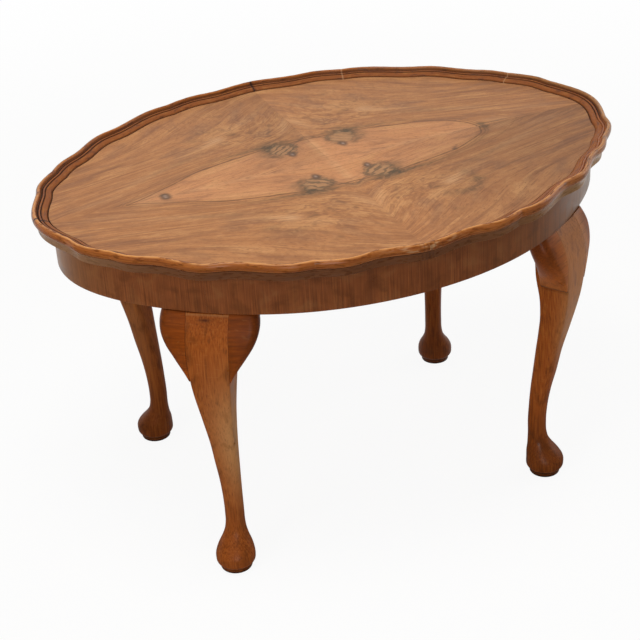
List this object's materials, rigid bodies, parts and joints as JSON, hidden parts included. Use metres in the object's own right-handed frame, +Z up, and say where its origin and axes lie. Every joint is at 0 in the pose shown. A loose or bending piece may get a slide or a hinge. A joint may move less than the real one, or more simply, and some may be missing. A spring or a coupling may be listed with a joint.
{
  "type": "coffee table",
  "caption": "Low oval table with a raised scalloped piecrust rim, a quarter-matched walnut veneer top, a plain curved apron and cabriole legs on pad feet.",
  "frame": {"origin": "on the floor, under the middle of the top", "axes": "+Z up, +X along the top's long axis to the right of the picture, +Y to the back"},
  "size_m": [0.7706, 0.5684, 0.46],
  "materials": {
    "panel_core": "sawn plywood, unpolished",
    "walnut_veneer": "figured walnut veneer, satin polish",
    "walnut_rim": "moulded solid walnut, satin polish, worn on the crest",
    "walnut_facing": "cross-grained walnut veneer, satin polish",
    "walnut_leg": "carved solid walnut, satin polish",
    "walnut_ear": "carved solid walnut with level grain, satin polish",
    "pine_block": "planed softwood, unpolished",
    "beech_dowel": "turned beech, unpolished",
    "steel_screw": "plain steel"
  },
  "bodies": {
    "root": {"top_core": "panel_core", "veneer_back_right": "walnut_veneer", "rim_back_right": "walnut_rim", "leg_back_right": "walnut_leg", "corner_block_back_right": "pine_block", "ear_back_right_a": "walnut_ear", "dowel_back_right_a": "beech_dowel", "screw_back_right_a": "steel_screw", "ear_back_right_b": "walnut_ear", "dowel_back_right_b": "beech_dowel", "screw_back_right_b": "steel_screw", "veneer_back_left": "walnut_veneer", "rim_back_left": "walnut_rim", "leg_back_left": "walnut_leg", "corner_block_back_left": "pine_block", "ear_back_left_a": "walnut_ear", "dowel_back_left_a": "beech_dowel", "screw_back_left_a": "steel_screw", "ear_back_left_b": "walnut_ear", "dowel_back_left_b": "beech_dowel", "screw_back_left_b": "steel_screw", "veneer_front_left": "walnut_veneer", "rim_front_left": "walnut_rim", "leg_front_left": "walnut_leg", "corner_block_front_left": "pine_block", "ear_front_left_a": "walnut_ear", "dowel_front_left_a": "beech_dowel", "screw_front_left_a": "steel_screw", "ear_front_left_b": "walnut_ear", "dowel_front_left_b": "beech_dowel", "screw_front_left_b": "steel_screw", "veneer_front_right": "walnut_veneer", "rim_front_right": "walnut_rim", "leg_front_right": "walnut_leg", "corner_block_front_right": "pine_block", "ear_front_right_a": "walnut_ear", "dowel_front_right_a": "beech_dowel", "screw_front_right_a": "steel_screw", "ear_front_right_b": "walnut_ear", "dowel_front_right_b": "beech_dowel", "screw_front_right_b": "steel_screw", "apron_back": "panel_core", "facing_back": "walnut_facing", "glue_block_back": "pine_block", "apron_left": "panel_core", "facing_left": "walnut_facing", "glue_block_left": "pine_block", "apron_front": "panel_core", "facing_front": "walnut_facing", "glue_block_front": "pine_block", "apron_right": "panel_core", "facing_right": "walnut_facing", "glue_block_right": "pine_block"}
  },
  "joints": []
}
